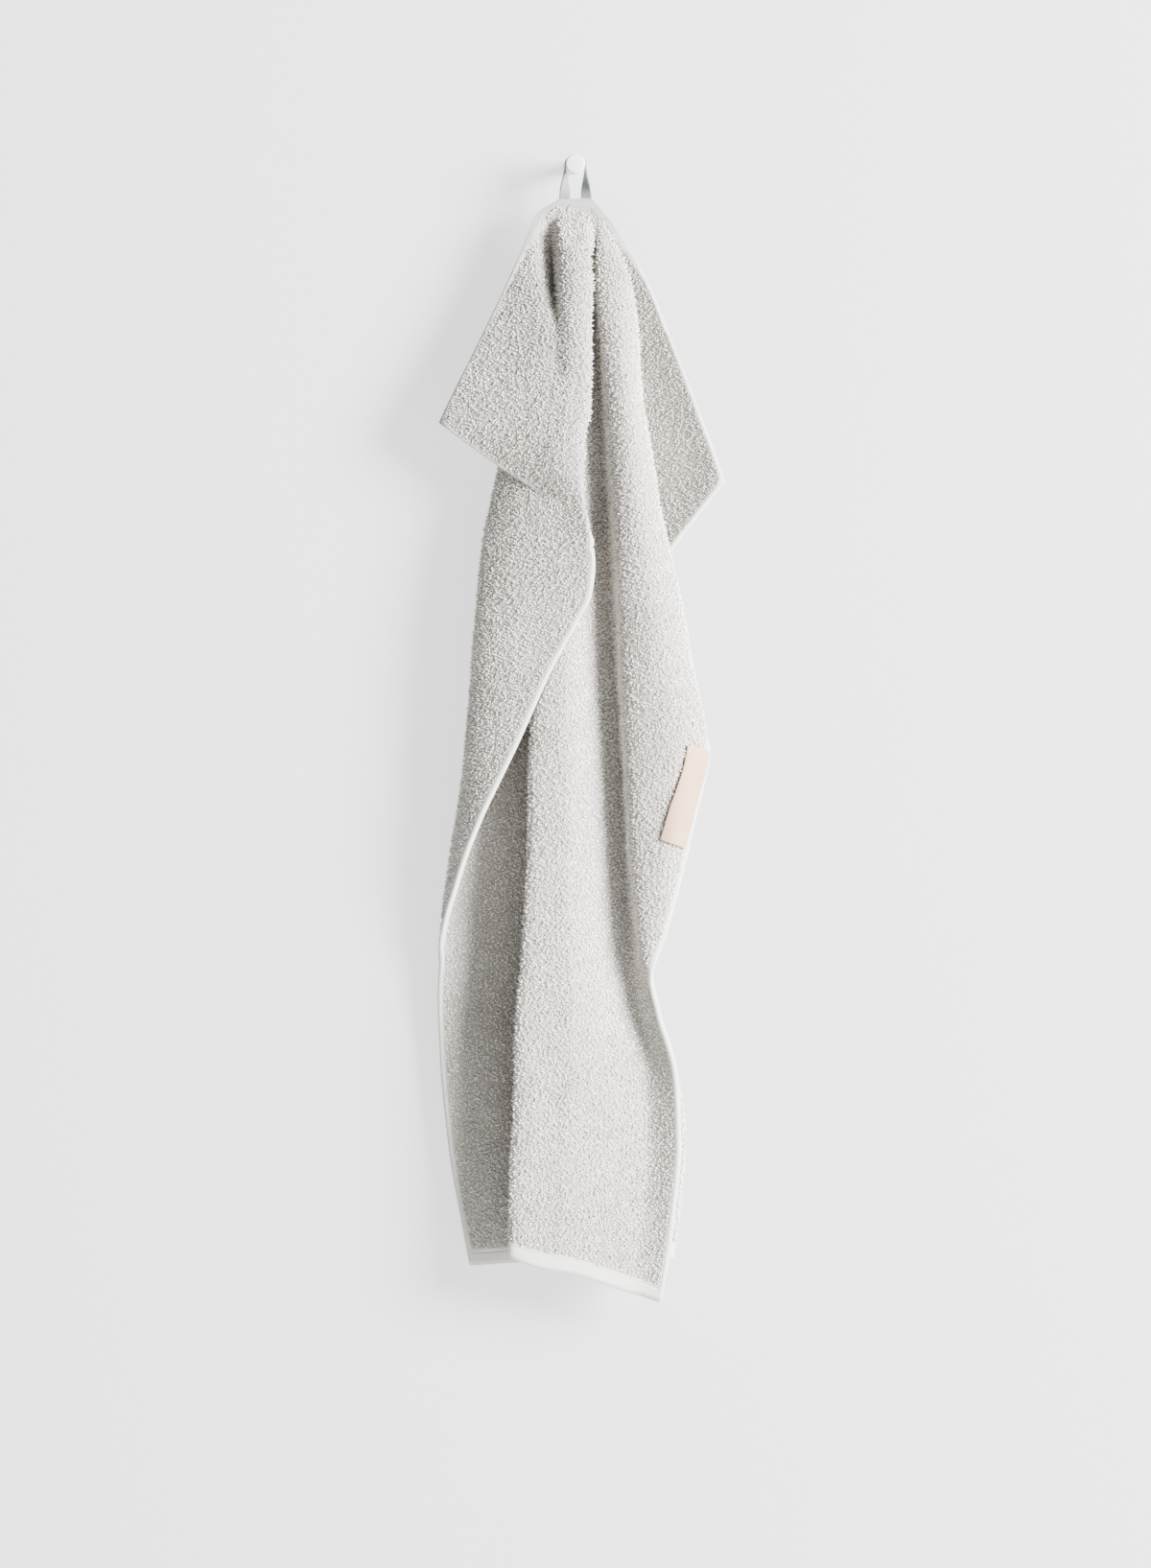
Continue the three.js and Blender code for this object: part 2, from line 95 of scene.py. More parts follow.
class Finish:
    """A new material with one Principled shader."""

    def __init__(self, name, **constants):
        self.material = bpy.data.materials.new(name)
        self.material.use_nodes = True
        self.tree = self.material.node_tree
        self.shader = self.tree.nodes["Principled BSDF"]
        for socket, value in constants.items():
            self.shader.inputs[socket.replace("_", " ")].default_value = value

    def node(self, kind, settings=None, inputs=None, output=0):
        made = self.tree.nodes.new(kind)
        for key, value in (settings or {}).items():
            setattr(made, key, value)
        for key, value in (inputs or {}).items():
            if isinstance(value, Value):
                self.tree.links.new(value.socket, made.inputs[key])
            else:
                made.inputs[key].default_value = value
        return Value(self, made.outputs[output])

    def blend(self, share, first, second):
        settings = {"data_type": "RGBA"}
        return self.node("ShaderNodeMix", settings, {0: share, 6: first, 7: second}, output=2)

    def ramp(self, value, low, high):
        inputs = {"Value": value, "From Min": low, "From Max": high}
        return self.node("ShaderNodeMapRange", {"interpolation_type": "SMOOTHSTEP"}, inputs)

    def noise(self, place, scale, detail=2.0):
        return self.node("ShaderNodeTexNoise", {}, {"Vector": place, "Scale": scale, "Detail": detail})

    def feed(self, socket, value):
        self.tree.links.new(value.socket, self.shader.inputs[socket])

    def bump(self, height, distance, strength=1.0):
        inputs = {"Height": height, "Distance": distance, "Strength": strength}
        self.feed("Normal", self.node("ShaderNodeBump", {}, inputs))


print("helpers ready")

# %% [markdown]
# ## The way the cloth hangs
#
# A towel hung from the middle of a short side falls into folds that start at the loop. Each fold is
# a line down the cloth. A table gives its drop below the peg, its place across and its distance out
# from the wall, in millimetres. A row of the cloth, at one drop, runs from the left rim through all
# folds to the right rim. These are the same lines that the solid towel follows, so the fine cloth
# lies where the solid is. A simulation could drape it too, but it wouldn't find the same folds.

# %% Rims and folds
LEFT_HEM = [
    (15.9, -7.5, 23), (22.6, -17.7, 22.4), (35, -22.6, 22.6), (57, -32.3, 23.2), (119.6, -62.9, 26),
]
LEFT_EDGE = [
    (119.6, -62.9, 26), (141, -33.2, 31), (157, -8.9, 36.8), (167, 2.7, 40.5), (177, 7.5, 43),
    (186, 8.9, 43.5), (199, 7.5, 42), (210, 2.2, 40.5), (234, -11.1, 39), (268, -26.6, 37.5),
    (305, -44.3, 32), (334, -54.9, 23.5), (361, -61.6, 15), (385, -63.8, 10.5), (412, -62.9, 8.5),
    (456, -58.5, 7.8), (487, -53.2, 7.5), (511, -48.7, 7.5),
]
RIGHT_HEM = [
    (15.9, 7.5, 23), (28.4, 17.7, 23.3), (57, 34.4, 24), (80, 43.6, 25.3), (101.4, 52, 27),
    (147, 68.7, 31),
]
RIGHT_EDGE = [
    (147, 68.7, 31), (163, 56, 27), (179.4, 43.4, 23), (194, 32, 20.5), (206, 27, 20), (222, 30, 20.5),
    (240, 41, 23), (257, 53.2, 27.5), (270, 61.5, 32), (300, 55.5, 34.5), (318.5, 51.3, 35),
    (352, 42.6, 35), (377, 35.4, 33.4), (392, 38.5, 33), (407.6, 43.4, 32.5), (420, 46.6, 32),
    (451, 48.5, 31), (499, 44, 29.5), (525.4, 39.9, 29),
]
TOWARD_VIEWER, TO_THE_WALL, TO_THE_RIGHT = math.pi / 2, -math.pi / 2, 0.0
# Each fold: its name, the way the row crosses it, how round it is, its dip at the bottom, its line
FOLDS = [
    ("slit shoulder", TO_THE_RIGHT, 5, 0,
     [(26, -15, 22.7), (35, -18.8, 23.4), (57, -16, 27.4), (75, -10.8, 33.2), (86, -9, 35.4),
      (100, -8, 36.8)]),
    ("slit inside", TO_THE_RIGHT, 2.5, 0,
     [(26, -10.8, 19.6), (35, -10.8, 16.8), (57, -9.8, 20), (75, -8.3, 32.6), (86, -7.8, 35.6),
      (100, -7.2, 37)]),
    ("slit lip", TOWARD_VIEWER, 6, 0,
     [(26, -8.2, 23.5), (35, -6.8, 28), (57, -6.4, 32), (75, -6.3, 34.5), (86, -6.5, 36),
      (100, -6.6, 37.2)]),
    ("left flap crest", TO_THE_RIGHT, 16, 0,
     [(26, 0, 23.6), (35, 0, 29), (57, 0.5, 35.5), (80, 0, 38.5), (107, -1, 40.5), (135, 0, 43),
      (165, 7.9, 43.2)]),
    ("left flap fold over", TO_THE_WALL, 12, 0,
     [(26, 5, 23.4), (35, 6.5, 28), (57, 7.6, 33.5), (80, 7.2, 36.5), (107, 7.4, 39.5),
      (135, 7.4, 41.5), (165, 8.3, 43), (184, 9.3, 43.1)]),
    ("left side fold", TO_THE_WALL, 40, 0,
     [(40, 7.2, 25), (48, -3, 22.5), (57, -10, 21.5), (80, -19, 21), (107, -28, 20.5),
      (141, -37.7, 20.5), (208, -45.6, 23), (274, -50.9, 21.5), (336, -59.8, 15), (366, -63, 13)]),
    ("back panel lowest line", TO_THE_RIGHT, 18, -2,
     [(40, 7.4, 24.6), (48, 2.5, 19.8), (57, 0, 17.8), (80, -2, 15), (107, -2, 12.6), (135, 0, 10.8),
      (186, 4, 9.2), (260, -6, 8), (300, -22, 7.6), (340, -35, 7.4), (380, -40, 7.4), (415, -36, 9),
      (460, -30, 11), (510, -26, 12)]),
    ("hidden fold at the back", TOWARD_VIEWER, 22, -4,
     [(40, 7.6, 24.3), (48, 7, 18.5), (57, 8.5, 16.5), (80, 12.5, 14.5), (107, 17.5, 12.5),
      (135, 23, 11.5), (186, 32, 11), (288, 38, 11), (360, 32, 11), (377, 31, 11), (394, 35, 11),
      (420, 46, 12), (451, 50.5, 12.5), (480, 48.5, 12.5), (510, 45, 12.5)]),
    ("middle panel left fold", TOWARD_VIEWER, 11, -5.4,
     [(40, 8, 24), (48, 1, 20.5), (57, -4, 20.3), (80, -10, 20.5), (107, -13.5, 20.5), (135, -16, 22.5),
      (186, -19, 26.5), (252, -20.8, 30.5), (323, -22.2, 34), (398, -27.5, 35), (510, -31, 33)]),
    ("middle panel crest", TO_THE_RIGHT, 30, 1,
     [(40, 8.4, 23.8), (48, 5.5, 25), (57, 3.5, 26), (80, 1, 28), (135, -2.5, 31), (186, -4, 33.5),
      (252, -5.5, 35.2), (323, -5, 37), (394, -4, 36.5), (510, -9, 34)]),
    ("deep valley", TO_THE_RIGHT, 10, 12,
     [(26, 9.2, 23.1), (35, 9.3, 22.6), (57, 9.2, 21), (80, 10.2, 19.5), (135, 12.4, 18.5),
      (217, 16.5, 18.2), (288, 21, 18.2), (348, 24, 18.6), (377, 25.5, 19.6), (394, 28, 20.5),
      (411, 32.5, 22.5), (451, 34, 25.5), (510, 28, 28)]),
    ("right ridge left side", TOWARD_VIEWER, 12, 0,
     [(26, 10, 23.2), (35, 10.6, 25.2), (57, 10.4, 29.5), (80, 12.7, 32), (107.6, 14.8, 34),
      (135, 16.6, 35), (217, 21.3, 35.5), (314, 26.1, 35.5), (361, 30.6, 35), (376, 34.5, 33.2)]),
    ("right ridge crest", TO_THE_RIGHT, 30, 0,
     [(26, 11, 23.3), (35, 13.5, 26), (57, 17.7, 32), (80, 20, 36), (107, 23, 39), (135, 25.5, 40.5),
      (179, 31, 41.5), (230, 39, 41.5), (270, 45, 41), (323, 41, 40), (348, 38.5, 38),
      (376, 35, 33.4)]),
    ("right side fold", TO_THE_WALL, 14, 0,
     [(26, 12.6, 23.3), (35, 17, 25), (57, 25.3, 28), (80, 28, 29.5), (107.6, 30, 30.5),
      (135.6, 34.6, 31), (155.5, 38.1, 31), (179, 43.4, 31), (230, 53.2, 32), (268, 62.2, 32)]),
    ("right flap hidden turn", TO_THE_WALL, 10, 0,
     [(26, 13.4, 23.2), (35, 15.5, 23.5), (57, 20.5, 21.5), (80, 23.5, 19.5), (107, 26, 18),
      (135, 28.5, 17), (180, 29.5, 17.8), (205, 27.1, 20)]),
]
LEFT_RIM_DIP, RIGHT_RIM_DIP = -0.5, 15.4
FIRST_DROP, DIP_START, LAST_DROP = 15.9, 380.0, 510.0
print(len(FOLDS), "folds")

# %% [markdown]
# ## Rows of the cloth
#
# Between two folds a row is a smooth curve that leaves the one in its direction and reaches the
# other in its own. A round fold pulls the curve further. Where a fold runs out, its pull fades, so
# the cloth there falls flat by degrees.

# %% Row curves
ROUND_GAIN, FADE_DISTANCE, SPAN_POINTS = 1.4, 8.0, 24


def along(line, column, drop):
    """One column of a table at a drop, as a smooth curve that never swings past its points."""
    last = len(line) - 1
    if drop <= line[0][0]:
        return line[0][column]
    if drop >= line[last][0]:
        return line[last][column]
    i = next(k for k in range(last) if drop <= line[k + 1][0])

    def slope(k):
        return (line[k + 1][column] - line[k][column]) / (line[k + 1][0] - line[k][0])

    def tangent(k):
        if k in (0, last):
            return slope(0 if k == 0 else last - 1)
        before, after = slope(k - 1), slope(k)
        return 0.0 if before * after <= 0 else 2 * before * after / (before + after)

    step = line[i + 1][0] - line[i][0]
    t = (drop - line[i][0]) / step
    rise = t * t * (3 - 2 * t)
    level = line[i][column] * (1 - rise) + line[i + 1][column] * rise
    return level + step * (t * (1 - t) ** 2 * tangent(i) - t * t * (1 - t) * tangent(i + 1))


def dip_at(level, dip):
    return dip * max(0.0, (level - DIP_START) / (LAST_DROP - DIP_START)) ** 2


def rim_at(level, hem, edge, dip):
    drop = level + dip_at(level, dip)
    line = hem if drop < edge[0][0] else edge
    return np.array([along(line, 1, drop), along(line, 2, drop)]), drop, None, None


def stops_at(level):
    stops = [rim_at(level, LEFT_HEM, LEFT_EDGE, LEFT_RIM_DIP)]
    for name, heading, roundness, dip, line in FOLDS:
        if line[0][0] <= level <= line[-1][0]:
            place = np.array([along(line, 1, level), along(line, 2, level)])
            way = np.array([math.cos(heading), math.sin(heading)])
            stops.append((place, level + dip_at(level, dip), way, roundness))
    return stops + [rim_at(level, RIGHT_HEM, RIGHT_EDGE, RIGHT_RIM_DIP)]


def row_line(level):
    """A row of the cloth as a line of points (x, y, z) in metres."""
    stops, line = stops_at(level), []
    t = np.linspace(0, 1, SPAN_POINTS + 1)[:, None]
    rise, leave, arrive = t * t * (3 - 2 * t), t * (1 - t) ** 2, -t * t * (1 - t)
    for i in range(len(stops) - 1):
        (a, drop_a, way_a, round_a), (b, drop_b, way_b, round_b) = stops[i], stops[i + 1]
        run = b - a
        chord = math.hypot(*run)

        def pull(place, way, roundness, other):
            fade = min(1.0, math.hypot(*(place - other)) / FADE_DISTANCE)
            return fade * ROUND_GAIN * roundness * chord / (roundness + chord) * way

        start = None if way_a is None else pull(a, way_a, round_a, stops[i - 1][0])
        end = None if way_b is None else pull(b, way_b, round_b, stops[i + 2][0])
        if start is None and end is None:
            start = end = run
        start = 1.5 * run - 0.5 * end if start is None else start
        end = 1.5 * run - 0.5 * start if end is None else end
        flat = a + rise * run + leave * start + arrive * end
        drops = drop_a + rise * (drop_b - drop_a)
        points = np.column_stack([flat[:, 0], -flat[:, 1], -drops[:, 0]]) * MM
        line.append(points if i == 0 else points[1:])
    return np.concatenate(line)


def measure(line):
    """Distance along a line of points."""
    return np.concatenate([[0.0], np.cumsum(np.linalg.norm(np.diff(line, axis=0), axis=1))])


def place_on(line, wanted):
    """Points of a line at the wanted distances along it."""
    distance = measure(line)
    return np.column_stack([np.interp(wanted, distance, line[:, k]) for k in range(3)])


print("a row at drop 200 is", round(float(measure(row_line(200.0))[-1]) / MM), "mm long")

# %% [markdown]
# ## A fine grid of cloth
#
# The cloth is cut into rows about 2 mm apart, and each row into equal steps. A few passes of
# averaging down the columns take away the little steps where a fold starts or ends. They set in
# below the gathered top, where the folds are sharp and stay so. A slow noise then adds the soft
# unevenness of washed terry. The averaging leaves the rim in its place.

# %% Cloth grid
ROWS, COLUMNS = 228, 168
SMOOTH_DOWN, SMOOTH_ACROSS = 6, 1
SMOOTH_DROPS, SMOOTH_SHARES = (70.0, 130.0), (0.0, 0.5)
RIPPLES = ((0.55 * MM, 1 / 0.030), (0.30 * MM, 1 / 0.012))


def grid_normals(grid):
    right, down = np.empty_like(grid), np.empty_like(grid)
    right[:, 1:-1], right[:, 0], right[:, -1] = (
        grid[:, 2:] - grid[:, :-2], grid[:, 1] - grid[:, 0], grid[:, -1] - grid[:, -2])
    down[1:-1], down[0], down[-1] = grid[2:] - grid[:-2], grid[1] - grid[0], grid[-1] - grid[-2]
    normals = np.cross(down, right)
    return normals / np.maximum(np.linalg.norm(normals, axis=2, keepdims=True), 1e-12)


levels = np.linspace(FIRST_DROP, LAST_DROP, ROWS + 1)
for corner in (LEFT_EDGE[0][0], RIGHT_EDGE[0][0]):
    levels[np.argmin(abs(levels - corner))] = corner
cloth = []
for level in levels:
    line = row_line(level)
    cloth.append(place_on(line, np.linspace(0, measure(line)[-1], COLUMNS + 1)))
cloth = np.array(cloth)
strength = np.interp(levels[1:-1], SMOOTH_DROPS, SMOOTH_SHARES)[:, None, None]
for _ in range(SMOOTH_DOWN):
    neighbours = 0.5 * (cloth[:-2, 1:-1] + cloth[2:, 1:-1])
    cloth[1:-1, 1:-1] += strength * (neighbours - cloth[1:-1, 1:-1])
for _ in range(SMOOTH_ACROSS):
    cloth[1:-1, 1:-1] = 0.5 * cloth[1:-1, 1:-1] + 0.25 * (cloth[1:-1, :-2] + cloth[1:-1, 2:])
ripple = np.array([[sum(size * noise.noise(Vector(p) * scale) for size, scale in RIPPLES) for p in row]
                   for row in cloth])
cloth += grid_normals(cloth) * ripple[:, :, None]
normals = grid_normals(cloth)
print("cloth grid:", cloth.shape, "lowest point", round(float(cloth[:, :, 2].min()), 4))

# %% [markdown]
# ## Hems
#
# The pile stops at the hems, where the cloth is turned over and sewn flat. How far a point is from
# the rim is measured along the cloth itself, from neighbour to neighbour, because the next fold may
# be close by in space and yet far away along the cloth. The result is in hem widths: below 1 is hem.
# Beside the loop the whole top hem shows. Toward the corners the pile leans over it and leaves only
# its edge bare, so the hem is counted narrower there.

# %% Distance to the rim
TOP_HEM, CORNER_HEM, BOTTOM_HEM, SIDE_HEM = 5.0 * MM, 1.4 * MM, 7.4 * MM, 2.3 * MM
TOP_HEM_DROPS = (22.0, 60.0)
FAR, PASSES = 1.0, 150


def rim_distance(on_rim):
    distance = np.where(on_rim, 0.0, FAR)
    steps = [(1, 0), (0, 1), (1, 1), (1, -1)]
    for _ in range(PASSES):
        for di, dj in steps:
            rows_a, rows_b = slice(0, ROWS + 1 - di), slice(di, ROWS + 1)
            cols_a = slice(max(0, -dj), COLUMNS + 1 - max(0, dj))
            cols_b = slice(max(0, dj), COLUMNS + 1 + min(0, dj))
            gap = np.linalg.norm(cloth[rows_a, cols_a] - cloth[rows_b, cols_b], axis=2)
            a, b = distance[rows_a, cols_a], distance[rows_b, cols_b]
            distance[rows_b, cols_b] = np.minimum(b, a + gap)
            distance[rows_a, cols_a] = np.minimum(a, b + gap)
    return distance


row_index, column_index = np.indices((ROWS + 1, COLUMNS + 1))
level_of = levels[row_index]
first, last = column_index == 0, column_index == COLUMNS
left_corner, right_corner = LEFT_EDGE[0][0], RIGHT_EDGE[0][0]
on_top = (row_index == 0) | (first & (level_of <= left_corner)) | (last & (level_of <= right_corner))
on_side = (first & (level_of >= left_corner)) | (last & (level_of >= right_corner))
hem_place = np.minimum.reduce([
    rim_distance(on_top) / np.interp(level_of, TOP_HEM_DROPS, (TOP_HEM, CORNER_HEM)),
    rim_distance(row_index == ROWS) / BOTTOM_HEM,
    rim_distance(on_side) / SIDE_HEM,
])
print("share of the cloth that is hem:", round(float((hem_place < 1).mean()), 3))

# %% [markdown]
# ## The towel's ground cloth
#
# The woven ground starts as a flat grid, whose vertices move onto the folds. Solidify gives it its
# thickness, more at the hems, where it lies double. The cloth's own measure, in metres, becomes its
# UV map, so that a weave drawn on it follows the threads round every fold.

# %% Ground cloth
GROUND, HEM_THICKNESS = 1.3 * MM, 2.3 * MM
EDGE_ANGLE = math.radians(50)
FAR_FROM_HEM = 3.0


def select_only(piece):
    bpy.ops.object.select_all(action="DESELECT")
    piece.select_set(True)
    bpy.context.view_layer.objects.active = piece


def flat_grid(name, columns, rows):
    """A grid primitive, and for each vertex its row from the top and its column from the left."""
    bpy.ops.object.select_all(action="DESELECT")
    bpy.ops.mesh.primitive_grid_add(x_subdivisions=columns, y_subdivisions=rows, size=1)
    piece = bpy.context.object
    piece.name = piece.data.name = name
    flat = np.empty(len(piece.data.vertices) * 3)
    piece.data.vertices.foreach_get("co", flat)
    flat = flat.reshape(-1, 3)
    down = np.rint((0.5 - flat[:, 1]) * rows).astype(int)
    return piece, down, np.rint((flat[:, 0] + 0.5) * columns).astype(int)


def shape_grid(piece, down, right, points, measures):
    piece.data.vertices.foreach_set("co", points[down, right].ravel())
    corner = np.empty(len(piece.data.loops), int)
    piece.data.loops.foreach_get("vertex_index", corner)
    piece.data.uv_layers[0].name = "threads"
    piece.data.uv_layers[0].data.foreach_set("uv", measures[down, right][corner].ravel())
    piece.data.update()


def thicken(piece, thickness, group="", thin_share=1.0):
    select_only(piece)
    solid = piece.modifiers.new("thickness", "SOLIDIFY")
    solid.thickness, solid.offset = thickness, 0
    if group:
        solid.vertex_group, solid.thickness_vertex_group = group, thin_share
    bpy.ops.object.modifier_apply(modifier=solid.name)
    bpy.ops.object.shade_smooth()


def soften(piece, width, segments=2):
    select_only(piece)
    edge = piece.modifiers.new("soft edge", "BEVEL")
    edge.width, edge.segments = width, segments
    edge.limit_method, edge.angle_limit = "ANGLE", EDGE_ANGLE
    bpy.ops.object.modifier_apply(modifier=edge.name)
    bpy.ops.object.shade_smooth()


def store(piece, name, values):
    piece.data.attributes.new(name, "FLOAT", "POINT").data.foreach_set("value", values.astype(np.float32))


threads = np.stack([
    np.concatenate([np.zeros((ROWS + 1, 1)),
                    np.cumsum(np.linalg.norm(np.diff(cloth, axis=1), axis=2), axis=1)], axis=1),
    -cloth[:, :, 2],
], axis=2)
towel, down, right = flat_grid("towel_cloth", COLUMNS, ROWS)
shape_grid(towel, down, right, cloth, threads)
store(towel, "hem_place", np.minimum(hem_place, FAR_FROM_HEM)[down, right])
hem_group = towel.vertex_groups.new(name="hem")
for index in np.flatnonzero(hem_place[down, right] < 1.0):
    hem_group.add([int(index)], 1.0, "REPLACE")
thicken(towel, HEM_THICKNESS, "hem", GROUND / HEM_THICKNESS)
print("ground cloth:", len(towel.data.polygons), "faces")

# %% [markdown]
# ## The label
#
# A small woven label is sewn on at the right edge. It is left bare. Its grid is measured along the
# cloth from the rim, then lifted onto the pile, so it bends with the fold that it lies on.

# %% Label
LABEL_LENGTH, LABEL_WIDTH, LABEL_THICKNESS = 45.0 * MM, 12.0 * MM, 0.6 * MM
LABEL_TOP_DROP, LABEL_SLANT, LABEL_INSETS = 272.4, 4.3, (1.2 * MM, 3.2 * MM)
LABEL_LIFT, LABEL_SOFT_EDGE = 1.9 * MM, 0.2 * MM
LABEL_ROWS, LABEL_COLUMNS = 40, 10
label_points = np.empty((LABEL_ROWS + 1, LABEL_COLUMNS + 1, 3))
label_measures = np.empty((LABEL_ROWS + 1, LABEL_COLUMNS + 1, 2))
for i in range(LABEL_ROWS + 1):
    for j in range(LABEL_COLUMNS + 1):
        inset = np.interp(i / LABEL_ROWS, (0, 1), LABEL_INSETS)
        from_edge = inset + LABEL_WIDTH * (1 - j / LABEL_COLUMNS)
        length = LABEL_LENGTH * i / LABEL_ROWS
        level = LABEL_TOP_DROP + length / MM - LABEL_SLANT * from_edge / LABEL_WIDTH
        label_points[i, j] = place_on(row_line(level)[::-1], [from_edge])[0]
        label_measures[i, j] = LABEL_WIDTH * j / LABEL_COLUMNS, length
label_points += grid_normals(label_points) * LABEL_LIFT
label, down, right = flat_grid("woven_label", LABEL_COLUMNS, LABEL_ROWS)
shape_grid(label, down, right, label_points, label_measures)
thicken(label, LABEL_THICKNESS)
soften(label, LABEL_SOFT_EDGE)
print("label:", len(label.data.polygons), "faces")

# %% [markdown]
# ## The pile
#
# Terry has small yarn loops on both faces, which stand up and lean every way. At this scale a loop
# is a tuft, modelled as a small closed pyramid with a leaning tip. A particle system could scatter
# one tuft over the cloth, but writing all of them straight into a few meshes is quicker and leaves
# plain geometry. They stand as densely as the area of cloth under them asks, and stop at the hems.
# They are left out where the next layer of cloth lies close in front or the label covers them.

# %% Pile
PILE_PITCH = 1.12 * MM
TUFT_RADIUS, TUFT_HEIGHT = (0.42 * MM, 0.64 * MM), (0.75 * MM, 1.8 * MM)
TUFT_STRETCH, TUFT_LEAN, TUFT_SINK = (1.0, 1.6), 1.15 * MM, 0.2 * MM
PILE_BANDS = 3
# Where the pile is left out in narrow folds, the ground's painted shade shows through as a dark line.
PILE_ROOM, LABEL_ROOM, LOOK_FROM = 6.5 * MM, 2.3 * MM, 0.3 * MM
PILE_START, PLACE_JITTER = 1.04, 0.2
SPREAD_A, SPREAD_B = 0.7548776662, 0.5698402910  # steps that spread points evenly over a square
# A tuft's corners: three on the cloth and its tip. Faces: its foot and three sides.
TUFT_FACES = np.array([[0, 2, 1], [0, 1, 3], [1, 2, 3], [2, 0, 3]])
# Where each face lies in the tuft's own square of the UV map, the foot beside the three sides
FOOT_UV = [(0.72, 0.72), (0.95, 0.72), (0.95, 0.95)]
CORNER_UV = [(0.1, 0.1), (0.9, 0.1), (0.5, 0.9), (0.5, 0.37)]
TUFT_UV = np.array(FOOT_UV + [CORNER_UV[k] for face in TUFT_FACES[1:] for k in face])
chance = np.random.default_rng(7)


def blend_cell(field, i, j, u, v):
    u, v = u[:, None], v[:, None]
    top = field[i, j] * (1 - u) + field[i, j + 1] * u
    return top * (1 - v) + (field[i + 1, j] * (1 - u) + field[i + 1, j + 1] * u) * v


def search_tree(grid):
    """A tree of a grid's faces, to ask what lies in front of a point."""
    corner = np.arange(grid.shape[0] * grid.shape[1]).reshape(grid.shape[:2])
    quads = np.stack([corner[:-1, :-1], corner[1:, :-1], corner[1:, 1:], corner[:-1, 1:]], axis=2)
    return BVHTree.FromPolygons(grid.reshape(-1, 3).tolist(), quads.reshape(-1, 4).tolist())


def has_room(base, up):
    """True where no other layer of cloth and no label lies close in front, so the yarn can stand."""
    layers, cover = search_tree(cloth), search_tree(label_points)

    def is_free(start, way):
        hits = layers.ray_cast(start, way, PILE_ROOM), cover.ray_cast(start, way, LABEL_ROOM)
        return all(place is None for place, *_ in hits)

    starts = (base + up * LOOK_FROM).tolist()
    return np.array([is_free(start, way) for start, way in zip(starts, up.tolist())])


def unit(vectors):
    return vectors / np.maximum(np.linalg.norm(vectors, axis=1, keepdims=True), 1e-12)


def pile_points():
    """Cells and places in them, spread by area over the cloth inside the hems."""
    across = 0.5 * (cloth[:-1, 1:] - cloth[:-1, :-1] + cloth[1:, 1:] - cloth[1:, :-1])
    along_cloth = 0.5 * (cloth[1:, :-1] - cloth[:-1, :-1] + cloth[1:, 1:] - cloth[:-1, 1:])
    area = np.linalg.norm(np.cross(across, along_cloth), axis=2).ravel()
    total = np.cumsum(area / PILE_PITCH ** 2)
    cell = np.searchsorted(total, np.arange(0.5, total[-1]))
    i, j = np.divmod(cell, COLUMNS)
    count = np.arange(len(cell))
    u = (count * SPREAD_A + PLACE_JITTER * chance.random(len(cell))) % 1
    v = (count * SPREAD_B + PLACE_JITTER * chance.random(len(cell))) % 1
    inside = blend_cell(hem_place[:, :, None], i, j, u, v)[:, 0] > PILE_START
    return i[inside], j[inside], u[inside], v[inside]


def tuft_corners(base, up, side):
    """The four corners of a tuft at each base point."""
    size = len(base)
    ahead = unit(side - up * np.sum(side * up, axis=1, keepdims=True))
    aside = np.cross(up, ahead)

    def way(angle):
        return ahead * np.cos(angle) + aside * np.sin(angle)

    turn = chance.uniform(0, 2 * math.pi, (size, 1))
    radius = chance.uniform(*TUFT_RADIUS, (size, 1))
    stretch = radius * chance.uniform(*TUFT_STRETCH, (size, 1))
    foot = base + up * (GROUND / 2 - TUFT_SINK)
    lean = TUFT_LEAN * np.sqrt(chance.random((size, 1)))
    height = chance.uniform(*TUFT_HEIGHT, (size, 1))
    tip = foot + up * height + way(chance.uniform(0, 2 * math.pi, (size, 1))) * lean
    ring = [foot + way(turn) * stretch * math.cos(a) + way(turn + math.pi / 2) * radius * math.sin(a)
            for a in (0, 2 * math.pi / 3, 4 * math.pi / 3)]
    return np.stack([*ring, tip], axis=1)


def pile_mesh(name, corners, tint):
    """A mesh of tufts, each with its tint and its own square in the UV map."""
    size = len(corners)
    faces = (np.arange(size)[:, None, None] * 4 + TUFT_FACES).reshape(-1, 3)
    mesh = bpy.data.meshes.new(name)
    mesh.vertices.add(size * 4)
    mesh.vertices.foreach_set("co", corners.ravel())
    mesh.loops.add(faces.size)
    mesh.loops.foreach_set("vertex_index", faces.ravel())
    mesh.polygons.add(len(faces))
    mesh.polygons.foreach_set("loop_start", np.arange(0, faces.size, 3))
    mesh.update(calc_edges=True)
    mesh.polygons.foreach_set("use_smooth", np.ones(len(faces), bool))
    squares = math.ceil(math.sqrt(size))
    square = np.stack(np.divmod(np.arange(size), squares), axis=1)[:, None, :]
    mesh.uv_layers.new(name="OFBake").data.foreach_set("uv", ((square + TUFT_UV) / squares).ravel())
    piece = bpy.data.objects.new(name, mesh)
    bpy.context.collection.objects.link(piece)
    store(piece, "tint", np.repeat(tint, 4))
    # A tuft's tip is marked 1 and its foot 0; the cotton paints light on the tip and shade at the foot.
    store(piece, "tip", np.tile([0.0, 0.0, 0.0, 1.0], size))
    return piece


